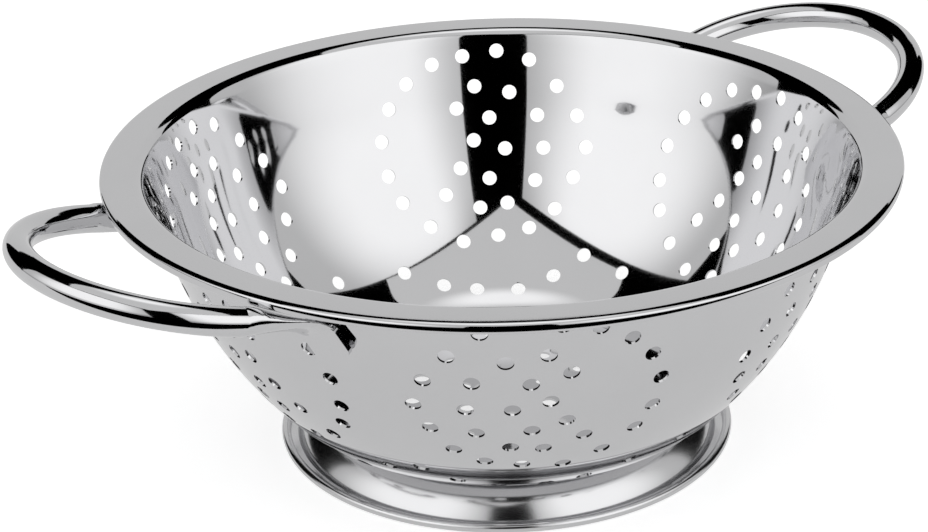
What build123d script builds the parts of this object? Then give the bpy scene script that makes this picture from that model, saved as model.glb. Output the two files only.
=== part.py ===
from build123d import *
import os
from math import acos, asin, atan2, cos, degrees, radians, sin, tan

os.makedirs("parts", exist_ok=True)

# Footed colander. Millimetres and degrees, +Z up, the table at Z = 0, the bowl's axis on Z,
# and the handles along X.

# Bowl: heights are counted from the middle of the rolled rim down to the underside of the base.
rim_diameter = 280.0
rim_roll_diameter = 3.4
bowl_sheet = 0.8
bowl_depth = 95.0
rim_roll_turn = 285.0
flange_width = 14.2
flange_corner_radius = 2.6
wall_taper_angle = 17.0
taper_depth = 24.0
wall_arc_radius = 150.0
knuckle_radius = 34.9

# Drain holes.
hole_diameter = 5.6

# Foot ring: overhangs are counted outward from the edge of the bowl's flat base.
foot_height = 10.5
foot_overhang = 24.3
foot_lip_diameter = 3.4
foot_lip_turn = 285.0
foot_lip_flat = 0.8
foot_sheet = 0.8
neck_base_overhang = 16.8
neck_lean_angle = 24.0
neck_fillet_radius = 1.5
foot_flange_overhang = 2.7
foot_seat_gap = 0.3

# Handles: a tube in a plane that rises outward from a line inside the wall's top, the inset. The
# length and the depth under the rim are counted from that line.
tube_diameter = 9.8
tube_wall = 1.0
handle_length = 68.4
handle_foot_inset = 13.8
handle_plane_depth = 11.6
handle_rise_angle = 14.7
handle_crown_radius = 51.1
handle_leg_splay_angle = 6.5
handle_left_angle = 179.4
handle_right_angle = 1.9
tab_width = 14.4
tab_drop = 14.5
tab_slant_angle = 25.0
tab_corner_radius = 2.4
tab_seat_gap = 0.3
pinch_sharpness = 2.4
bend_length = 5.0

# Spot welds.
weld_diameter = 4.0
foot_weld_count = 6
tab_weld_spacing = 6.4

overrun = 2.0

# Each cluster of holes is the same punching, turned to these angles. They are a little uneven.
cluster_angles = (-3.8, 54.9, 121.1, 181.1, 236.9, 297.4)
cluster_pitch_angle = 60.0

# Places in a cluster: (share of the cluster pitch round the bowl, share of the bowl's depth).
ring_shares = (
    (0.0, 0.069), (0.105, 0.085), (0.2, 0.109), (0.287, 0.174), (0.353, 0.262), (0.395, 0.382),
    (0.395, 0.513), (0.363, 0.617), (0.275, 0.715), (0.153, 0.777), (0.01, 0.762), (-0.113, 0.737),
    (-0.207, 0.668), (-0.263, 0.551), (-0.297, 0.436), (-0.258, 0.318), (-0.188, 0.206), (-0.1, 0.105),
)
heart_shares = (
    (-0.038, 0.233), (0.072, 0.206), (-0.128, 0.323), (0.028, 0.332), (0.133, 0.29), (-0.152, 0.448),
    (-0.022, 0.452), (0.083, 0.417), (-0.128, 0.569), (0.035, 0.561), (0.135, 0.519), (-0.028, 0.651),
    (0.075, 0.665), (0.197, 0.61),
)
scallop_shares = (
    (-0.353, 0.815), (-0.235, 0.89), (-0.077, 0.934), (0.12, 0.93), (0.272, 0.909), (0.435, 0.849),
)

# Circles of holes in the base: (share of the flat base's radius, number of holes).
base_hole_shares = ((0.0, 1), (0.294, 6), (0.588, 12), (0.865, 18))

# The pinch takes this share of the leg's length, and its sections stand at these shares of it.
pinch_share = 0.94
pinch_section_shares = (0.0, 0.25, 0.5, 0.75, 1.0)

# Worked out from the sizes above.
rim_radius = rim_diameter / 2
wall_top_radius = rim_radius - flange_width
roll_radius = rim_roll_diameter / 2
rim_level = foot_height + bowl_depth
roll_center = (rim_radius - roll_radius, rim_level)
wall_center_rise = wall_arc_radius * sin(radians(wall_taper_angle)) - taper_depth
knuckle_center_drop = wall_center_rise + bowl_depth - knuckle_radius
knuckle_start_angle = degrees(asin(knuckle_center_drop / (wall_arc_radius - knuckle_radius)))
knuckle_start_depth = bowl_depth - knuckle_radius * (1 - sin(radians(knuckle_start_angle)))
lip_radius = foot_lip_diameter / 2
flat_drop = lip_radius - (lip_radius**2 - (foot_lip_flat / 2) ** 2) ** 0.5
plate_top = foot_lip_diameter - flat_drop
seat_radius = knuckle_radius + foot_seat_gap
tab_thickness = 2 * tube_wall
handle_plane_radius = wall_top_radius - handle_foot_inset


def polar(center, radius, angle):
    """Point at an angle round a center, in the plane of radius and height."""
    return (center[0] + radius * cos(radians(angle)), center[1] + radius * sin(radians(angle)))


def taper_point(height, inset=0.0):
    """Point on the straight top of the wall's outer face, moved square to it by an inset."""
    radius = wall_top_radius + (height - rim_level) * tan(radians(wall_taper_angle))
    return polar((radius, height), -inset, -wall_taper_angle)


taper_end = taper_point(rim_level - taper_depth)
wall_center = polar(taper_end, -wall_arc_radius, -wall_taper_angle)
knuckle_start = polar(wall_center, wall_arc_radius, -knuckle_start_angle)
knuckle_center = polar(knuckle_start, -knuckle_radius, -knuckle_start_angle)
base_radius = knuckle_center[0]
lip_center = (base_radius + foot_overhang - lip_radius, plate_top - lip_radius)
neck_base_radius = base_radius + neck_base_overhang
foot_flange_inner_radius = base_radius + foot_flange_overhang


def wall_place(depth):
    """Outer face at a depth under the rim: (radius, height, angle that the wall leans in)."""
    if depth <= taper_depth:
        radius, height = taper_point(rim_level - depth)
        return radius, height, wall_taper_angle
    if depth <= knuckle_start_depth:
        rise = sin(radians(wall_taper_angle)) + (depth - taper_depth) / wall_arc_radius
        lean = degrees(asin(rise))
        return *polar(wall_center, wall_arc_radius, -lean), lean
    rise = sin(radians(knuckle_start_angle)) + (depth - knuckle_start_depth) / knuckle_radius
    lean = degrees(asin(min(rise, 1.0)))
    return *polar(knuckle_center, knuckle_radius, -lean), lean


def arc(center, radius, start, end):
    """Arc in the profile plane from one angle to another, either way round."""
    return CenterArc(center, radius, start, end - start)


def flange_corner():
    """Center of the bend between the wall and the flange."""
    under_radius = flange_corner_radius - bowl_sheet
    height = rim_level + roll_radius - bowl_sheet - under_radius
    tangent = taper_point(height + under_radius * sin(radians(wall_taper_angle)))
    return polar(tangent, under_radius, -wall_taper_angle)


def bowl_outline(inset):
    """Base, wall and flange from the axis to the rolled rim, moved in from the outer face by an inset."""
    corner = flange_corner()
    corner_radius = flange_corner_radius - bowl_sheet + inset
    flange_level = corner[1] + corner_radius
    return [
        Line((0, foot_height + inset), (knuckle_center[0], foot_height + inset)),
        arc(knuckle_center, knuckle_radius - inset, -90, -knuckle_start_angle),
        arc(wall_center, wall_arc_radius - inset, -knuckle_start_angle, -wall_taper_angle),
        Line(polar(taper_end, -inset, -wall_taper_angle), polar(corner, -corner_radius, -wall_taper_angle)),
        arc(corner, corner_radius, 180 - wall_taper_angle, 90),
        Line((corner[0], flange_level), (roll_center[0], flange_level)),
    ]


def rolled_edge(center, radius, sheet, turn):
    """Curled edge from the top of its outer arc, round the cut end, to the top of its inner arc."""
    end = 90 - turn
    return [
        arc(center, radius, 90, end),
        Line(polar(center, radius, end), polar(center, radius - sheet, end)),
        arc(center, radius - sheet, end, 90),
    ]


def turned(edges):
    """Solid of revolution of a closed outline in the plane of radius and height."""
    return revolve(Plane.XZ * make_face(edges), Axis.Z)


def bowl_shell():
    axis_edge = Line((0, foot_height), (0, foot_height + bowl_sheet))
    rim_roll = rolled_edge(roll_center, roll_radius, bowl_sheet, rim_roll_turn)
    return turned(bowl_outline(0) + rim_roll + bowl_outline(bowl_sheet) + [axis_edge])


def hole_cutter(angle, depth):
    """Pin square to the wall at an angle round the bowl and a depth under the rim."""
    radius, height, lean = wall_place(depth)
    out = Vector(cos(radians(lean)), 0, -sin(radians(lean)))
    middle = Vector(radius, 0, height) - out * (bowl_sheet / 2)
    pin = Plane(origin=middle, z_dir=out) * Cylinder(hole_diameter / 2, bowl_sheet + 2 * overrun)
    return pin.rotate(Axis.Z, angle)


def wall_holes():
    places = ring_shares + heart_shares + scallop_shares
    return [
        hole_cutter(cluster + round_share * cluster_pitch_angle, depth_share * bowl_depth)
        for cluster in cluster_angles
        for round_share, depth_share in places
    ]


def base_holes():
    pin = Pos(0, 0, foot_height + bowl_sheet / 2) * Cylinder(hole_diameter / 2, bowl_sheet + 2 * overrun)
    return [
        (Pos(circle_share * base_radius, 0, 0) * pin).rotate(Axis.Z, 360 * index / count)
        for circle_share, count in base_hole_shares
        for index in range(count)
    ]


def make_bowl():
    return bowl_shell() - (wall_holes() + base_holes())


def neck_faces():
    """Feet of the neck's outer and inner faces, where they leave the fillet round the skirt."""
    fillet_reach = neck_fillet_radius * tan(radians(45 - neck_lean_angle / 2))
    fillet_center = (neck_base_radius + fillet_reach, plate_top + neck_fillet_radius)
    outer_foot = polar(fillet_center, neck_fillet_radius, 180 + neck_lean_angle)
    inner_foot = polar(fillet_center, neck_fillet_radius + foot_sheet, 180 + neck_lean_angle)
    return fillet_center, outer_foot, inner_foot


def neck_meeting_angle():
    """Angle round the knuckle's center at which the middle of the neck's sheet meets the top flange."""
    fillet_center, outer_foot, inner_foot = neck_faces()
    middle = ((outer_foot[0] + inner_foot[0]) / 2, (outer_foot[1] + inner_foot[1]) / 2)
    rise = polar((0, 0), 1, 90 + neck_lean_angle)
    offset = (middle[0] - knuckle_center[0], middle[1] - knuckle_center[1])
    along = offset[0] * rise[0] + offset[1] * rise[1]
    reach = -along - (along**2 - offset[0] ** 2 - offset[1] ** 2 + seat_radius**2) ** 0.5
    return degrees(atan2(-offset[1] - reach * rise[1], offset[0] + reach * rise[0]))


def skirt_outline():
    """Neck, fillet, flat skirt and rolled lip, with the neck run on up into the bowl's room."""
    fillet_center, outer_foot, inner_foot = neck_faces()
    neck_angle = 180 + neck_lean_angle
    outer_top = polar(outer_foot, 2 * foot_height, 90 + neck_lean_angle)
    inner_top = polar(inner_foot, 2 * foot_height, 90 + neck_lean_angle)
    plate_under = plate_top - foot_sheet
    return [
        Line(outer_top, outer_foot),
        arc(fillet_center, neck_fillet_radius, neck_angle, 270),
        Line((fillet_center[0], plate_top), (lip_center[0], plate_top)),
        *rolled_edge(lip_center, lip_radius, foot_sheet, foot_lip_turn),
        Line((lip_center[0], plate_under), (fillet_center[0], plate_under)),
        arc(fillet_center, neck_fillet_radius + foot_sheet, 270, neck_angle),
        Line(inner_foot, inner_top),
        Line(inner_top, outer_top),
    ]


def knuckle_band(inner_radius, outer_radius, start, end):
    """Band round the knuckle's center between two angles under the level."""
    return make_face(
        [
            arc(knuckle_center, inner_radius, -start, -end),
            Line(polar(knuckle_center, inner_radius, -end), polar(knuckle_center, outer_radius, -end)),
            arc(knuckle_center, outer_radius, -end, -start),
            Line(polar(knuckle_center, outer_radius, -start), polar(knuckle_center, inner_radius, -start)),
        ]
    )


flange_start_angle = degrees(acos((foot_flange_inner_radius - knuckle_center[0]) / seat_radius))


def make_foot_ring():
    bowl_room = Pos(*knuckle_center) * Circle(seat_radius)
    flange_end_angle = neck_meeting_angle()
    top_flange = knuckle_band(seat_radius, seat_radius + foot_sheet, flange_start_angle, flange_end_angle)
    below_table = Pos(lip_center[0], -lip_radius) * Rectangle(foot_lip_diameter, foot_lip_diameter)
    outline = make_face(skirt_outline()) - bowl_room - below_table + top_flange
    return revolve(Plane.XZ * outline, Axis.Z)


def make_foot_welds():
    """Nuggets that fill the seat's gap halfway along the top flange."""
    lean = (flange_start_angle + neck_meeting_angle()) / 2
    radius, height = polar(knuckle_center, knuckle_radius, -lean)
    out = Vector(cos(radians(lean)), 0, -sin(radians(lean)))
    seat_band = knuckle_band(knuckle_radius, seat_radius, flange_start_angle, neck_meeting_angle())
    seat_gap = revolve(Plane.XZ * seat_band, Axis.Z)
    pin = Plane(origin=(radius, 0, height), z_dir=out) * Cylinder(weld_diameter / 2, 2 * overrun)
    nugget = pin & seat_gap
    turns = [360 * index / foot_weld_count for index in range(foot_weld_count)]
    return Compound([nugget.rotate(Axis.Z, turn) for turn in turns])


handle_plane = Plane(
    origin=(handle_plane_radius, 0, rim_level - handle_plane_depth),
    x_dir=(cos(radians(handle_rise_angle)), 0, sin(radians(handle_rise_angle))),
    z_dir=(-sin(radians(handle_rise_angle)), 0, cos(radians(handle_rise_angle))),
)
crown_top = handle_length / cos(radians(handle_rise_angle))
crown_center = (crown_top - handle_crown_radius, 0)
leg_angle = 90 - handle_leg_splay_angle
leg_start = polar(crown_center, handle_crown_radius, leg_angle)


def in_handle_plane(point):
    return handle_plane.from_local_coords(Vector(*point))


leg_origin = in_handle_plane(leg_start)
leg_direction = (in_handle_plane(polar(leg_start, 1, 90 + leg_angle)) - leg_origin).normalized()


def leg_length():
    """Length of the leg to where its axis meets the middle of the flat tab on the wall's taper."""
    slope = tan(radians(wall_taper_angle))
    standoff = (tab_seat_gap + tab_thickness / 2) / cos(radians(wall_taper_angle))
    cone_radius = wall_top_radius + standoff + (leg_origin.Z - rim_level) * slope
    cone_change = leg_direction.Z * slope
    square = leg_direction.X**2 + leg_direction.Y**2 - cone_change**2
    middle = leg_origin.X * leg_direction.X + leg_origin.Y * leg_direction.Y - cone_radius * cone_change
    constant = leg_origin.X**2 + leg_origin.Y**2 - cone_radius**2
    return (-middle - (middle**2 - square * constant) ** 0.5) / square


pinch_length = pinch_share * leg_length()
tab_origin = leg_origin + leg_direction * leg_length()


def tab_plane():
    """Plane of the tab's middle: X down along the tab, Z out from the wall."""
    taper = radians(wall_taper_angle)
    slant = radians(tab_slant_angle)
    level_out = Vector(tab_origin.X, tab_origin.Y, 0).normalized()
    up = Vector(0, 0, 1)
    sideways = up.cross(level_out)
    out = level_out * cos(taper) - up * sin(taper)
    down = -level_out * sin(taper) - up * cos(taper)
    return Plane(origin=tab_origin, x_dir=down * cos(slant) + sideways * sin(slant), z_dir=out)


def pinch_section(share):
    """Section of the tube as it is pressed flat: round at share 0, the tab's thickness at share 1."""
    tab = tab_plane()
    before = tab_origin - leg_direction * pinch_length
    after = tab_origin + tab.x_dir * bend_length
    left = 1 - share
    center = before * left**2 + tab_origin * 2 * share * left + after * share**2
    heading = (leg_direction * pinch_length * left + tab.x_dir * bend_length * share).normalized()
    width_axis = (tab.y_dir - heading * tab.y_dir.dot(heading)).normalized()
    roundness = left**pinch_sharpness
    width = tab_width + (tube_diameter - tab_width) * roundness
    thickness = tab_thickness + (tube_diameter - tab_thickness) * roundness
    return Plane(origin=center, x_dir=width_axis, z_dir=heading) * Ellipse(width / 2, thickness / 2)


def tube_run(radius):
    """Half of the tube, from the crown to where the pinch starts."""
    round_length = leg_length() - pinch_length
    crown = CenterArc(crown_center, handle_crown_radius, 0, leg_angle)
    leg = Line(leg_start, polar(leg_start, round_length, 90 + leg_angle))
    path = handle_plane * Wire([crown.edge(), leg.edge()])
    section = Plane(origin=path @ 0, z_dir=path % 0) * Circle(radius)
    return sweep(section, path)


def make_tab():
    length = tab_drop - bend_length + tab_corner_radius
    middle = tab_drop - length / 2
    outline = Pos(middle, 0) * RectangleRounded(length, tab_width, tab_corner_radius)
    return tab_plane() * Pos(0, 0, -tab_thickness / 2) * extrude(outline, tab_thickness)


def make_handle():
    pinch = loft([pinch_section(share) for share in pinch_section_shares])
    half = tube_run(tube_diameter / 2) - tube_run(tube_diameter / 2 - tube_wall) + pinch + make_tab()
    return half + mirror(half, about=Plane.XZ)


def make_tab_welds():
    """Nuggets between a handle's two tabs and the wall."""
    flange_level = rim_level + roll_radius - bowl_sheet
    top = Line((roll_center[0], flange_level), (0, flange_level))
    bowl_room = turned(bowl_outline(0) + [top, Line((0, flange_level), (0, foot_height))])
    tab_face = -tab_thickness / 2
    reach = tab_seat_gap + overrun
    middle = bend_length + (tab_drop - bend_length) / 2
    nuggets = []
    for side in (-1, 1):
        place = Pos(middle + side * tab_weld_spacing / 2, 0, tab_face - reach / 2)
        pin = tab_plane() * place * Cylinder(weld_diameter / 2, reach)
        nugget = pin - bowl_room
        nuggets += [nugget, mirror(nugget, about=Plane.XZ)]
    return Compound(nuggets)


def write(shape, name):
    export_step(shape, f"parts/{name}.step")


write(make_bowl(), "bowl")
write(make_foot_ring(), "foot_ring")
write(make_foot_welds(), "foot_spot_welds")
for side, angle in (("left", handle_left_angle), ("right", handle_right_angle)):
    write(make_handle().rotate(Axis.Z, angle), f"handle_{side}")
    write(make_tab_welds().rotate(Axis.Z, angle), f"handle_{side}_spot_welds")
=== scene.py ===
import math

import bmesh
import bpy
from mathutils import Matrix, Vector
from mathutils.bvhtree import BVHTree
from mathutils.interpolate import poly_3d_calc


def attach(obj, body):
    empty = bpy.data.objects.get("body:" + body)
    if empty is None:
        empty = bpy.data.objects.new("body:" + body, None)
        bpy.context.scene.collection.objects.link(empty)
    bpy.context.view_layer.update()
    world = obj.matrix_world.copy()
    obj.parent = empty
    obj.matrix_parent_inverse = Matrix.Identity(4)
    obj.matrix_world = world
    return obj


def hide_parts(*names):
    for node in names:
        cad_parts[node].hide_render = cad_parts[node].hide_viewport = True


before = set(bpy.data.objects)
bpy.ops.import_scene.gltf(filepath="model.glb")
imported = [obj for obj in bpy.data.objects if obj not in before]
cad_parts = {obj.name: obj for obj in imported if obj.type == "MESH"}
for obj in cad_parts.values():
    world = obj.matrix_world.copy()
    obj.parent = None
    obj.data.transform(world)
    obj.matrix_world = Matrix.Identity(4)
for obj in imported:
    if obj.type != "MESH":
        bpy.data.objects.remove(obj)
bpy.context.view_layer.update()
print("frame loaded:", ", ".join(sorted(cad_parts)))

# where the picture was taken from: degrees, metres, and millimetres for the lens and sensor
cameraView = {
    "azimuth": -125.45,  # turned from +X, seen from above
    "elevation": 22.29,
    "distance": 0.9559,
    "aimHeight": 0.1055,
    "pan": 0.82,
    "tilt": 2.32,
    "roll": -1.30,
    "lens": 105.71,
    "sensor": 36.0,
    "nearest": 0.01,
    "farthest": 50.0,
}


def placeCamera(view):
    azimuth, elevation = math.radians(view["azimuth"]), math.radians(view["elevation"])
    aim = Vector((0.0, 0.0, view["aimHeight"]))
    level = math.cos(elevation)
    away = Vector((level * math.cos(azimuth), level * math.sin(azimuth), math.sin(elevation)))
    eye = aim + away * view["distance"]
    facing = (-away).to_track_quat("-Z", "Y").to_matrix().to_4x4()
    turn = Matrix.Rotation(math.radians(view["pan"]), 4, "Y")
    turn = turn @ Matrix.Rotation(math.radians(-view["tilt"]), 4, "X")
    turn = turn @ Matrix.Rotation(math.radians(view["roll"]), 4, "Z")
    data = bpy.data.cameras.new("photoCamera")
    data.lens = view["lens"]
    data.sensor_width = view["sensor"]
    data.sensor_fit = "HORIZONTAL"
    data.clip_start = view["nearest"]
    data.clip_end = view["farthest"]
    camera = bpy.data.objects.new("photoCamera", data)
    bpy.context.scene.collection.objects.link(camera)
    camera.matrix_world = Matrix.Translation(eye) @ facing @ turn
    bpy.context.scene.camera = camera


placeCamera(cameraView)
bpy.context.scene.view_settings.view_transform = "Standard"
print("camera placed")


def link(tree, fromSocket, toSocket):
    tree.links.new(fromSocket, toSocket)


def newMaterial(name):
    material = bpy.data.materials.new(name)
    material.use_nodes = True
    material.node_tree.nodes.clear()
    return material, material.node_tree


def addNode(tree, kind, **settings):
    node = tree.nodes.new(kind)
    for key, value in settings.items():
        if key in node.inputs:
            node.inputs[key].default_value = value
        else:
            setattr(node, key, value)
    return node


def meshFrom(name, shape):
    mesh = bpy.data.meshes.new(name)
    shape.to_mesh(mesh)
    shape.free()
    return mesh


def meshObject(name, mesh, material):
    mesh.materials.append(material)
    piece = bpy.data.objects.new(name, mesh)
    bpy.context.scene.collection.objects.link(piece)
    return piece


# the studio: flat lit walls and a lit ceiling, with gaps that show the dark room round them; that
# room is a painted dark reflection, black only in polished steel.
# Turns are in degrees from the camera's side, right positive. Each glow is the brightness at a
# hot spot and far from it. The room and the dark floor are in metres, the rest in wall distances
studio = {
    "wallDistance": 1.5,
    "walls": {
        "leftWall": {"turn": -48, "sides": (-1.54, 0.78), "heights": (0.01, 1.20)},
        "rightWall": {"turn": 45, "sides": (-0.61, 2.14), "heights": (0.01, 1.37)},
        "backWall": {"turn": 180, "sides": (-0.80, 0.80), "heights": (0.02, 0.65)},
    },
    "hotSpots": {"leftWall": (0.0, 0.70), "rightWall": (0.0, 0.72), "backWall": (0.0, 0.4)},
    "wallGlow": {"leftWall": (1.25, 0.62), "rightWall": (1.25, 0.62), "backWall": (0.66, 0.60)},
    "fadeReach": (0.35, 1.30),
    "edgeFade": {"leftWall": (0.78, 0.20), "rightWall": (-0.61, -0.20)},  # beside the front gap
    "lowFade": (0.12, 0.21),  # towards the floor
    "edgeGlow": 0.66,  # share of the light left there
    "ceilingHeight": 1.45,
    "ceilingTurn": -46.5,
    "ceilingSides": {"left": 1.11, "right": 1.035, "back": 0.66},
    "ceilingSpot": {"turn": 180, "distance": 0.30},
    "ceilingGlow": (1.22, 0.70),
    "ceilingReach": (0.12, 0.48),
    "roomRadius": 6.0,
    "roomSides": 48,
    "darkFloorFrom": 0.23,  # on the camera's side: black only in polished steel, a painted dark reflection over the pale floor
    "darkFloorReach": 4.0,
    "darkFloorLift": 0.001,
}


def smoothFade(tree, value, reach, levels):
    fade = addNode(tree, "ShaderNodeMapRange", interpolation_type="SMOOTHSTEP")
    ends = reach + levels
    if reach[0] > reach[1]:  # the steps only run upwards
        ends = (reach[1], reach[0], levels[1], levels[0])
    for socket, end in zip(("From Min", "From Max", "To Min", "To Max"), ends):
        fade.inputs[socket].default_value = end
    link(tree, value, fade.inputs["Value"])
    return fade.outputs["Result"]


def glowMaterial(name, center, levels, reach, turn=0.0):
    material, tree = newMaterial(name + "Glow")
    place = addNode(tree, "ShaderNodeTexCoord")
    away = addNode(tree, "ShaderNodeVectorMath", operation="DISTANCE")
    link(tree, place.outputs["Object"], away.inputs[0])
    away.inputs[1].default_value = center
    strength = smoothFade(tree, away.outputs["Value"], reach, levels)
    if name in studio["edgeFade"]:
        distance = studio["wallDistance"]
        facing = addNode(tree, "ShaderNodeMapping")
        facing.inputs["Rotation"].default_value = (0.0, 0.0, -turn)
        link(tree, place.outputs["Object"], facing.inputs["Vector"])
        parts = addNode(tree, "ShaderNodeSeparateXYZ")
        link(tree, facing.outputs[0], parts.inputs[0])
        for axis, shares in (("Y", studio["edgeFade"][name]), ("Z", studio["lowFade"])):
            edges = tuple(share * distance for share in shares)
            edge = smoothFade(tree, parts.outputs[axis], edges, (studio["edgeGlow"], 1.0))
            dimmed = addNode(tree, "ShaderNodeMath", operation="MULTIPLY")
            link(tree, strength, dimmed.inputs[0])
            link(tree, edge, dimmed.inputs[1])
            strength = dimmed.outputs[0]
    glow = addNode(tree, "ShaderNodeEmission", Color=(1.0, 1.0, 1.0, 1.0))
    link(tree, strength, glow.inputs["Strength"])
    output = addNode(tree, "ShaderNodeOutputMaterial")
    link(tree, glow.outputs[0], output.inputs["Surface"])
    return material


# plain black, seen only in polished steel: painted dark reflections, which block no light and
# cast no shadow
def darkMaterial():
    material, tree = newMaterial("darkInSteel")
    reflectedDark = addNode(tree, "ShaderNodeBsdfDiffuse", Color=(0.0, 0.0, 0.0, 1.0))
    output = addNode(tree, "ShaderNodeOutputMaterial")
    link(tree, reflectedDark.outputs[0], output.inputs["Surface"])
    return material


def hideFromCamera(panel):
    panel.visible_camera = False
    panel.visible_shadow = False


def hideFromAllButGloss(panel):
    hideFromCamera(panel)
    panel.visible_diffuse = False
    panel.visible_transmission = False


def flatPanel(name, corners, matrix, material):
    shape = bmesh.new()
    for corner in corners:
        bmesh.ops.create_vert(shape, co=corner)
    bmesh.ops.contextual_create(shape, geom=shape.verts[:])
    bmesh.ops.transform(shape, matrix=matrix, verts=shape.verts[:])
    panel = meshObject(name, meshFrom(name, shape), material)
    hideFromCamera(panel)
    return panel


def hangWall(name):
    wall = studio["walls"][name]
    distance = studio["wallDistance"]
    left, right = (side * distance for side in wall["sides"])
    low, high = (height * distance for height in wall["heights"])
    angle = math.radians(cameraView["azimuth"] + wall["turn"])
    turn = Matrix.Rotation(angle, 4, "Z")
    corners = [
        (distance, left, low), (distance, right, low),
        (distance, right, high), (distance, left, high),
    ]
    side, height = studio["hotSpots"][name]
    center = turn @ Vector((distance, side * distance, height * distance))
    reach = tuple(share * distance for share in studio["fadeReach"])
    glow = glowMaterial(name, center, studio["wallGlow"][name], reach, angle)
    flatPanel(name, corners, turn, glow)


def hangCeiling():
    distance = studio["wallDistance"]
    sides = studio["ceilingSides"]
    height = studio["ceilingHeight"] * distance
    turn = Matrix.Rotation(math.radians(cameraView["azimuth"] + studio["ceilingTurn"]), 4, "Z")
    left, right, back = (sides[side] * distance for side in ("left", "right", "back"))
    corners = [
        (left, right, height), (-back, right, height),
        (-back, -back, height), (left, -back, height),
    ]
    spot = studio["ceilingSpot"]
    toSpot = Matrix.Rotation(math.radians(cameraView["azimuth"] + spot["turn"]), 4, "Z")
    center = toSpot @ Vector((spot["distance"] * distance, 0.0, height))
    reach = tuple(share * distance for share in studio["ceilingReach"])
    glow = glowMaterial("ceiling", center, studio["ceilingGlow"], reach)
    flatPanel("ceiling", corners, turn, glow)


def darkenRoom():
    reflectedDark = darkMaterial()
    sides = studio["roomSides"]
    shape = bmesh.new()
    bmesh.ops.create_uvsphere(
        shape, u_segments=sides, v_segments=sides // 2, radius=studio["roomRadius"],
    )
    room = meshObject("darkRoom", meshFrom("darkRoom", shape), reflectedDark)
    hideFromAllButGloss(room)
    # a black sheet over the pale floor, seen only in the steel: a painted dark reflection
    near, far, lift = studio["darkFloorFrom"], studio["darkFloorReach"], studio["darkFloorLift"]
    turn = Matrix.Rotation(math.radians(cameraView["azimuth"]), 4, "Z")
    corners = [(near, -far, lift), (far, -far, lift), (far, far, lift), (near, far, lift)]
    hideFromAllButGloss(flatPanel("darkFloor", corners, turn, reflectedDark))


for wallName in studio["walls"]:
    hangWall(wallName)
hangCeiling()
darkenRoom()
print("studio hung")


# white round the colander, and on the floor under it
backdrop = {
    "floorRadius": 3.9,
    "floorSides": 96,
    "floorColour": (0.86, 0.86, 0.86, 1.0),
    "floorLift": 0.54,  # light added where the camera sees the floor
    "floorInSteel": 0.74,  # how bright polished steel sees the floor
    "steelShare": 0.75,  # and how much of that takes the place of the real one
    "skyGlow": 0.5,
}


def makeWorld():
    world = bpy.data.worlds.new("paleRoom")
    world.use_nodes = True
    tree = world.node_tree
    tree.nodes.clear()
    rays = addNode(tree, "ShaderNodeLightPath")
    cameraOrGlossy = addNode(tree, "ShaderNodeMath", operation="MAXIMUM")
    link(tree, rays.outputs["Is Camera Ray"], cameraOrGlossy.inputs[0])
    link(tree, rays.outputs["Is Glossy Ray"], cameraOrGlossy.inputs[1])
    shown = addNode(tree, "ShaderNodeMath", operation="MAXIMUM")
    link(tree, cameraOrGlossy.outputs[0], shown.inputs[0])
    link(tree, rays.outputs["Is Transmission Ray"], shown.inputs[1])
    glow = addNode(tree, "ShaderNodeMapRange")
    glow.inputs["To Min"].default_value = backdrop["skyGlow"]
    glow.inputs["To Max"].default_value = 1.0
    link(tree, shown.outputs[0], glow.inputs["Value"])
    background = addNode(tree, "ShaderNodeBackground", Color=(1.0, 1.0, 1.0, 1.0))
    link(tree, glow.outputs["Result"], background.inputs["Strength"])
    output = addNode(tree, "ShaderNodeOutputWorld")
    link(tree, background.outputs[0], output.inputs["Surface"])
    bpy.context.scene.world = world


def floorMaterial():
    white = (1.0, 1.0, 1.0, 1.0)
    material, tree = newMaterial("floorPaper")
    paper = addNode(tree, "ShaderNodeBsdfDiffuse", Color=backdrop["floorColour"])
    rays = addNode(tree, "ShaderNodeLightPath")
    lift = addNode(tree, "ShaderNodeMath", operation="MULTIPLY")
    lift.inputs[1].default_value = backdrop["floorLift"]
    link(tree, rays.outputs["Is Camera Ray"], lift.inputs[0])
    glow = addNode(tree, "ShaderNodeEmission", Color=white)
    link(tree, lift.outputs[0], glow.inputs["Strength"])
    both = addNode(tree, "ShaderNodeAddShader")
    link(tree, paper.outputs[0], both.inputs[0])
    link(tree, glow.outputs[0], both.inputs[1])
    share = addNode(tree, "ShaderNodeMath", operation="MULTIPLY")
    share.inputs[1].default_value = backdrop["steelShare"]
    link(tree, rays.outputs["Is Glossy Ray"], share.inputs[0])
    shine = addNode(tree, "ShaderNodeEmission", Color=white, Strength=backdrop["floorInSteel"])
    shown = addNode(tree, "ShaderNodeMixShader")
    link(tree, share.outputs[0], shown.inputs[0])
    link(tree, both.outputs[0], shown.inputs[1])
    link(tree, shine.outputs[0], shown.inputs[2])
    output = addNode(tree, "ShaderNodeOutputMaterial")
    link(tree, shown.outputs[0], output.inputs["Surface"])
    return material


def makeFloor():
    shape = bmesh.new()
    bmesh.ops.create_circle(
        shape, cap_ends=True, radius=backdrop["floorRadius"], segments=backdrop["floorSides"],
    )
    floor = meshObject("floor", meshFrom("floor", shape), floorMaterial())


makeWorld()
makeFloor()
print("floor and room made")


# polished stainless steel
steelFinish = {
    "bowlSteel": {"colour": (0.70, 0.70, 0.71), "roughness": 0.04, "wavy": 0.035},
    "footSteel": {"colour": (0.70, 0.70, 0.71), "roughness": 0.16, "wavy": 0.05},
    "tubeSteel": {"colour": (0.70, 0.70, 0.71), "roughness": 0.06, "wavy": 0.03},
    "weldSteel": {"colour": (0.50, 0.50, 0.50), "roughness": 0.30, "wavy": 0.10},
}

# the marks of pressing and handling on it: soft clouds, and shallow ripples
steelMarks = {
    "cloudScale": 38.0,
    "cloudDetail": 3.0,
    "tint": (0.97, 1.03),  # shares of the colour
    "haze": (0.6, 1.4),  # shares of the roughness
    "rippleScale": 22.0,
    "rippleDetail": 1.0,
    "rippleDepth": 0.001,
}


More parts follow.
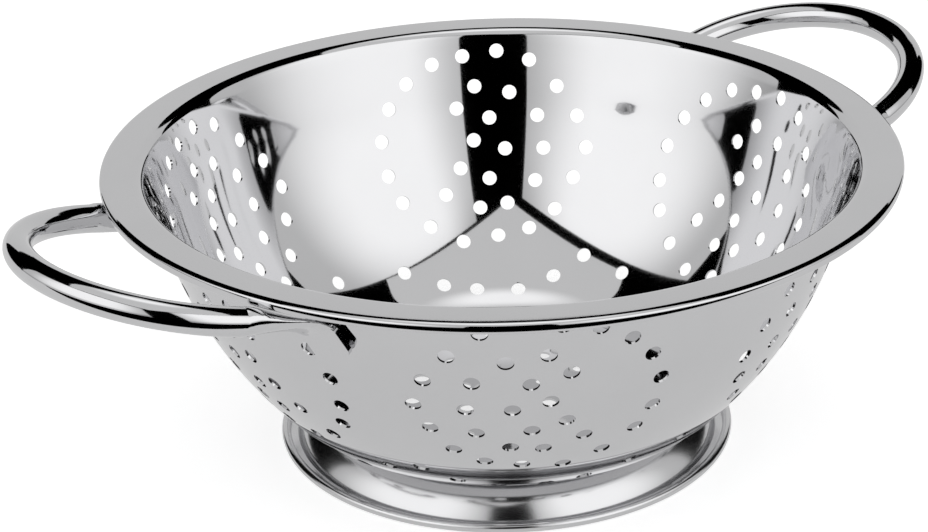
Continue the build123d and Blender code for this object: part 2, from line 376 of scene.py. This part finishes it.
def steelMaterial(name):
    finish, marks = steelFinish[name], steelMarks
    material, tree = newMaterial(name)
    place = addNode(tree, "ShaderNodeTexCoord")
    cloud = addNode(
        tree, "ShaderNodeTexNoise", Scale=marks["cloudScale"], Detail=marks["cloudDetail"],
    )
    link(tree, place.outputs["Object"], cloud.inputs["Vector"])
    tint = addNode(tree, "ShaderNodeMix", data_type="RGBA")
    red, green, blue = finish["colour"]
    for socket, share in zip((6, 7), marks["tint"]):  # the Mix node's two colours
        tint.inputs[socket].default_value = (red * share, green * share, blue * share, 1.0)
    link(tree, cloud.outputs["Fac"], tint.inputs[0])
    haze = addNode(tree, "ShaderNodeMapRange")
    for socket, share in zip(("To Min", "To Max"), marks["haze"]):
        haze.inputs[socket].default_value = finish["roughness"] * share
    link(tree, cloud.outputs["Fac"], haze.inputs["Value"])
    ripple = addNode(
        tree, "ShaderNodeTexNoise", Scale=marks["rippleScale"], Detail=marks["rippleDetail"],
    )
    link(tree, place.outputs["Object"], ripple.inputs["Vector"])
    bump = addNode(
        tree, "ShaderNodeBump", Strength=finish["wavy"], Distance=marks["rippleDepth"],
    )
    link(tree, ripple.outputs["Fac"], bump.inputs["Height"])
    steel = addNode(tree, "ShaderNodeBsdfPrincipled", Metallic=1.0)
    link(tree, tint.outputs[2], steel.inputs["Base Color"])
    link(tree, haze.outputs["Result"], steel.inputs["Roughness"])
    link(tree, bump.outputs["Normal"], steel.inputs["Normal"])
    output = addNode(tree, "ShaderNodeOutputMaterial")
    link(tree, steel.outputs[0], output.inputs["Surface"])
    return material


# turned sheet: a profile grows point by point, and is then spun round the upright axis
doublesGap = 0.000002


def polar(center, radius, angle):
    turn = math.radians(angle)
    return (center[0] + radius * math.cos(turn), center[1] + radius * math.sin(turn))


def startAt(shape, place):
    return bmesh.ops.create_vert(shape, co=(place[0], 0.0, place[1]))["vert"][0]


def lineTo(shape, vert, place, steps):
    stride = (Vector((place[0], 0.0, place[1])) - vert.co) / steps
    for _ in range(steps):
        grown = bmesh.ops.extrude_vert_indiv(shape, verts=[vert])["verts"]
        bmesh.ops.translate(shape, verts=grown, vec=stride)
        vert = grown[0]
    return vert


def arcTo(shape, vert, center, angle, steps):
    grown = bmesh.ops.spin(
        shape, geom=[vert], cent=(center[0], 0.0, center[1]), axis=(0, -1, 0),
        angle=math.radians(angle), steps=steps,
    )
    return grown["geom_last"][0]


def turnRound(shape, steps):
    bmesh.ops.spin(
        shape, geom=shape.verts[:] + shape.edges[:], cent=(0, 0, 0), axis=(0, 0, 1),
        angle=2 * math.pi, steps=steps, use_merge=True,
    )
    bmesh.ops.remove_doubles(shape, verts=shape.verts[:], dist=doublesGap)
    bmesh.ops.recalc_face_normals(shape, faces=shape.faces[:])
    for face in shape.faces:
        face.smooth = True


# the bowl, in metres and degrees
bowlSizes = {
    "sheet": 0.0008,
    "baseLevel": 0.0105,
    "depth": 0.095,
    "rimRise": 0.0017,  # from that depth up to the flange's top
    "wallTopRadius": 0.1258,
    "cornerRadius": 0.0039,  # between wall and flange
    "taperAngle": 17,
    "taperDepth": 0.024,
    "wallArcRadius": 0.150,
    "knuckleRadius": 0.0349,  # between wall and base
    "turnSteps": 360,
    "steps": {
        "base": 3, "knuckle": 12, "wall": 28, "taper": 8,
        "cornerUnder": 8, "cornerOver": 10, "flange": 2,
    },
}

# the wall's profile: the middle of each arc, as (radius, height), and where they meet
rimLevel = bowlSizes["baseLevel"] + bowlSizes["depth"]
rimTop = rimLevel + bowlSizes["rimRise"]
taperTan = math.tan(math.radians(bowlSizes["taperAngle"]))
taperEnd = (
    bowlSizes["wallTopRadius"] - bowlSizes["taperDepth"] * taperTan,
    rimLevel - bowlSizes["taperDepth"],
)
wallCenter = polar(taperEnd, -bowlSizes["wallArcRadius"], -bowlSizes["taperAngle"])
knuckleDrop = wallCenter[1] - bowlSizes["baseLevel"] - bowlSizes["knuckleRadius"]
knuckleReach = bowlSizes["wallArcRadius"] - bowlSizes["knuckleRadius"]
knuckleAngle = math.degrees(math.asin(knuckleDrop / knuckleReach))
knuckleStart = polar(wallCenter, bowlSizes["wallArcRadius"], -knuckleAngle)
knuckleCenter = polar(knuckleStart, -bowlSizes["knuckleRadius"], -knuckleAngle)


def cornerCenter():
    under = bowlSizes["cornerRadius"] - bowlSizes["sheet"]
    height = rimTop - bowlSizes["cornerRadius"]
    level = height + under * math.sin(math.radians(bowlSizes["taperAngle"]))
    tangent = (bowlSizes["wallTopRadius"] + (level - rimLevel) * taperTan, level)
    return polar(tangent, under, -bowlSizes["taperAngle"])


# the rolled edge, outwards from where the flat flange ends:
# each arc's radius, the way it faces at its end, and its steps
rimEdge = {
    "crownStart": 0.13784,
    "arcs": (
        (0.0030, 62, 6), (0.0012, 10, 8), (0.0038, -18, 6), (0.0009, -75, 10), (0.0013, -195, 16),
    ),
}


def rimRoll(shape, vert):
    # out along the roll's inner side, round its end, and back along its polished side
    arcs, flangeSteps = rimEdge["arcs"], bowlSizes["steps"]["flange"]
    middle, lean, stops = (rimEdge["crownStart"], rimTop - arcs[0][0]), 90, []
    vert = lineTo(shape, vert, (middle[0], rimTop - bowlSizes["sheet"]), flangeSteps)
    for index, (radius, toLean, steps) in enumerate(arcs):
        if index:  # each arc starts where the one before it ends
            middle = polar(middle, arcs[index - 1][0] - radius, lean)
        vert = arcTo(shape, vert, middle, toLean - lean, steps)
        stops.append((middle, lean, toLean, steps))
        lean = toLean
    vert = lineTo(shape, vert, polar(middle, arcs[-1][0], lean), 1)
    for middle, fromLean, toLean, steps in reversed(stops):
        vert = arcTo(shape, vert, middle, fromLean - toLean, steps)
    return vert


def bowlProfile(shape):
    sizes, steps = bowlSizes, bowlSizes["steps"]
    taper, sheet, corner = sizes["taperAngle"], sizes["sheet"], cornerCenter()
    underRadius = sizes["cornerRadius"] - sheet
    vert = startAt(shape, (0.0, sizes["baseLevel"]))
    vert = lineTo(shape, vert, (knuckleCenter[0], sizes["baseLevel"]), steps["base"])
    vert = arcTo(shape, vert, knuckleCenter, 90 - knuckleAngle, steps["knuckle"])
    vert = arcTo(shape, vert, wallCenter, knuckleAngle - taper, steps["wall"])
    vert = lineTo(shape, vert, polar(corner, -underRadius, -taper), steps["taper"])
    vert = arcTo(shape, vert, corner, taper - 90, steps["cornerUnder"])
    vert = rimRoll(shape, vert)
    vert = lineTo(shape, vert, (corner[0], rimTop), steps["flange"])
    vert = arcTo(shape, vert, corner, 90 - taper, steps["cornerOver"])
    vert = lineTo(shape, vert, polar(taperEnd, -sheet, -taper), steps["taper"])
    vert = arcTo(shape, vert, wallCenter, taper - knuckleAngle, steps["wall"])
    vert = arcTo(shape, vert, knuckleCenter, knuckleAngle - 90, steps["knuckle"])
    lineTo(shape, vert, (0.0, sizes["baseLevel"] + sheet), steps["base"])


# where the handles' flat ends press the wall in: angle round the bowl, radius and height
pressedSpots = {
    "spots": (
        (-153.47, 0.12073, 0.08837), (152.27, 0.12073, 0.08837),
        (-152.13, 0.11909, 0.08283), (150.93, 0.11909, 0.08283),
        (29.03, 0.12073, 0.08837), (-25.23, 0.12073, 0.08837),
        (30.37, 0.11909, 0.08283), (-26.57, 0.11909, 0.08283),
    ),
    "depth": 0.0004,
    "reach": 0.008,
    "farthest": 3.0,  # in reaches
}


def pressSpots(shape):
    for angle, radius, height in pressedSpots["spots"]:
        out = Vector((math.cos(math.radians(angle)), math.sin(math.radians(angle)), 0.0))
        spot = out * radius + Vector((0.0, 0.0, height))
        for vert in shape.verts:
            away = (vert.co - spot).length / pressedSpots["reach"]
            if away < pressedSpots["farthest"]:
                vert.co -= out * pressedSpots["depth"] * math.exp(-away * away)


def bowlShell():
    shape = bmesh.new()
    bowlProfile(shape)
    turnRound(shape, bowlSizes["turnSteps"])
    pressSpots(shape)
    return meshFrom("bowlShell", shape)


# the drain holes: one punching of the wall, repeated round it, and rings of holes in the base
drainHoles = {
    "radius": 0.0028,
    "sides": 28,
    "pinLength": 0.006,
    "turns": (-3.8, 54.9, 121.1, 181.1, 236.9, 297.4),  # of the punchings, in degrees
    "pitch": 60.0,
    "punching": (  # share of the pitch round the bowl, share of its depth
        (0.0, 0.069), (0.105, 0.085), (0.2, 0.109), (0.287, 0.174), (0.353, 0.262),
        (0.395, 0.382), (0.395, 0.513), (0.363, 0.617), (0.275, 0.715), (0.153, 0.777),
        (0.01, 0.762), (-0.113, 0.737), (-0.207, 0.668), (-0.263, 0.551), (-0.297, 0.436),
        (-0.258, 0.318), (-0.188, 0.206), (-0.1, 0.105), (-0.038, 0.233), (0.072, 0.206),
        (-0.128, 0.323), (0.028, 0.332), (0.133, 0.29), (-0.152, 0.448), (-0.022, 0.452),
        (0.083, 0.417), (-0.128, 0.569), (0.035, 0.561), (0.135, 0.519), (-0.028, 0.651),
        (0.075, 0.665), (0.197, 0.61), (-0.353, 0.815), (-0.235, 0.89), (-0.077, 0.934),
        (0.12, 0.93), (0.272, 0.909), (0.435, 0.849),
    ),
    "baseRings": ((0.0, 1), (0.294, 6), (0.588, 12), (0.865, 18)),  # share of its radius, holes
}


def wallPlace(depth):
    sizes, level = bowlSizes, rimLevel - depth
    if depth <= sizes["taperDepth"]:
        return (sizes["wallTopRadius"] - depth * taperTan, level), sizes["taperAngle"]
    center, radius = wallCenter, sizes["wallArcRadius"]
    if level < knuckleStart[1]:
        center, radius = knuckleCenter, sizes["knuckleRadius"]
    lean = math.degrees(math.asin(min(1.0, (center[1] - level) / radius)))
    return polar(center, radius, -lean), lean


def addPin(shape, angle, place, lean):
    pin = Matrix.Rotation(math.radians(angle), 4, "Z")
    pin = pin @ Matrix.Translation((place[0], 0.0, place[1]))
    pin = pin @ Matrix.Rotation(math.radians(90 + lean), 4, "Y")
    bmesh.ops.create_cone(
        shape, cap_ends=True, segments=drainHoles["sides"], radius1=drainHoles["radius"],
        radius2=drainHoles["radius"], depth=drainHoles["pinLength"], matrix=pin,
    )


def holePins():
    shape = bmesh.new()
    for turn in drainHoles["turns"]:
        for roundShare, depthShare in drainHoles["punching"]:
            place, lean = wallPlace(depthShare * bowlSizes["depth"])
            addPin(shape, turn + roundShare * drainHoles["pitch"], place, lean)
    for ringShare, count in drainHoles["baseRings"]:
        place = (ringShare * knuckleCenter[0], bowlSizes["baseLevel"])
        for index in range(count):
            addPin(shape, 360 * index / count, place, 90)
    return meshFrom("holePins", shape)


# how a face of the punched bowl is known to be polished sheet and not the edge of a hole
polishedSheet = {
    "facing": 0.9,  # cosine of its turn from the shell
    "gap": 0.0001,
    "inset": 0.02,  # corners are read this share of the way to the face's middle
}


def shellNormals(cutMesh, shellMesh):
    # the sheet keeps the whole shell's smooth normals, so the holes don't spoil its reflections
    shell = bmesh.new()
    shell.from_mesh(shellMesh)
    bmesh.ops.triangulate(shell, faces=shell.faces[:])
    shell.faces.ensure_lookup_table()
    tree = BVHTree.FromBMesh(shell)
    normals = [Vector(loop.normal) for loop in cutMesh.loops]
    for face in cutMesh.polygons:
        _, shellFacing, _, gap = tree.find_nearest(face.center)
        facing = abs(shellFacing.dot(face.normal))
        if facing < polishedSheet["facing"] or gap > polishedSheet["gap"]:
            for loopIndex in face.loop_indices:
                normals[loopIndex] = Vector(face.normal)
            continue
        for loopIndex in face.loop_indices:
            corner = cutMesh.vertices[cutMesh.loops[loopIndex].vertex_index].co
            inside = corner + (face.center - corner) * polishedSheet["inset"]
            spot, _, index, _ = tree.find_nearest(inside)
            near = shell.faces[index].verts
            weights = poly_3d_calc([vert.co for vert in near], spot)
            mixed = Vector()
            for vert, weight in zip(near, weights):
                mixed += vert.normal * weight
            normals[loopIndex] = mixed.normalized()
    shell.free()
    cutMesh.normals_split_custom_set(normals)


def makeBowl(material):
    shellMesh = bowlShell()
    bowl = meshObject("bowlPressing", shellMesh, material)
    pins = bpy.data.objects.new("holePins", holePins())
    bpy.context.scene.collection.objects.link(pins)
    cut = bowl.modifiers.new("drainHoles", "BOOLEAN")
    cut.operation = "DIFFERENCE"
    cut.solver = "MANIFOLD"
    cut.object = pins
    depsgraph = bpy.context.evaluated_depsgraph_get()
    cutMesh = bpy.data.meshes.new_from_object(bowl.evaluated_get(depsgraph))
    bowl.modifiers.remove(cut)
    shellNormals(cutMesh, shellMesh)
    bowl.data = cutMesh
    cutMesh.name = "bowlPressing"
    bpy.data.objects.remove(pins)
    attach(bowl, "root")
    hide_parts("bowl")
    print("bowl pressed and punched:", len(cutMesh.polygons), "faces")


# the foot: one smooth bell from the bowl down to its rolled lip, in metres and degrees
footSizes = {
    "sheet": 0.0008,
    "seatRadius": 0.0352,  # against the bowl's knuckle
    "seatStart": -85.6,
    "seatEnd": -74.3,
    "bellRadius": 0.0218,
    "bellCenter": (0.0561, -0.0072),
    "bellTop": 59,
    "bellFoot": 22,
    "bellTuck": 2,  # how much sooner the inner face ends under the seat
    "lipRadius": 0.00165,
    "lipCenter": (0.0804, 0.00165),
    "lipStart": 205,
    "hemLift": 0.00015,
    "sharpAngle": 30,
    "turnSteps": 240,
    "steps": {"seat": 8, "bell": 24, "groove": 3, "lip": 30, "hem": 3},
}


def footProfile(shape):
    sizes, steps = footSizes, footSizes["steps"]
    sheet, bell, lip = sizes["sheet"], sizes["bellCenter"], sizes["lipCenter"]
    under, backSeat = sizes["bellRadius"] - sheet, sizes["seatRadius"] + sheet
    seatTurn = sizes["seatEnd"] - sizes["seatStart"]
    bellTurn = sizes["bellTop"] - sizes["bellFoot"]
    first = startAt(shape, polar(knuckleCenter, sizes["seatRadius"], sizes["seatStart"]))
    vert = arcTo(shape, first, knuckleCenter, seatTurn, steps["seat"])
    vert = lineTo(shape, vert, polar(bell, sizes["bellRadius"], sizes["bellTop"]), 1)
    vert = arcTo(shape, vert, bell, -bellTurn, steps["bell"])
    vert = lineTo(shape, vert, polar(lip, sizes["lipRadius"], sizes["lipStart"]), steps["groove"])
    vert = arcTo(shape, vert, lip, -90 - sizes["lipStart"], steps["lip"])
    vert = lineTo(shape, vert, (bell[0] + under, sizes["hemLift"]), steps["hem"])
    vert = lineTo(shape, vert, polar(bell, under, sizes["bellFoot"]), 1)
    vert = arcTo(shape, vert, bell, bellTurn - sizes["bellTuck"], steps["bell"])
    vert = lineTo(shape, vert, polar(knuckleCenter, backSeat, sizes["seatEnd"]), 1)
    vert = arcTo(shape, vert, knuckleCenter, -seatTurn, steps["seat"])
    bmesh.ops.contextual_create(shape, geom=[vert, first])


def makeFoot(material):
    shape = bmesh.new()
    footProfile(shape)
    turnRound(shape, footSizes["turnSteps"])
    for edge in shape.edges:
        edge.smooth = edge.calc_face_angle(0.0) < math.radians(footSizes["sharpAngle"])
    mesh = meshFrom("footPressing", shape)
    foot = meshObject("footPressing", mesh, material)
    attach(foot, "root")
    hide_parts("foot_ring")
    print("foot pressed:", len(mesh.polygons), "faces")


# the pieces that keep the solid's own mesh
nodeFinish = {
    "foot_spot_welds": "weldSteel",
    "handle_left": "tubeSteel",
    "handle_left_spot_welds": "weldSteel",
    "handle_right": "tubeSteel",
    "handle_right_spot_welds": "weldSteel",
}


def dressNodes(steels):
    for nodeName, finishName in nodeFinish.items():
        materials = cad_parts[nodeName].data.materials
        materials.clear()
        materials.append(steels[finishName])


steels = {name: steelMaterial(name) for name in steelFinish}
dressNodes(steels)
print("steel put on")
makeBowl(steels["bowlSteel"])
makeFoot(steels["footSteel"])
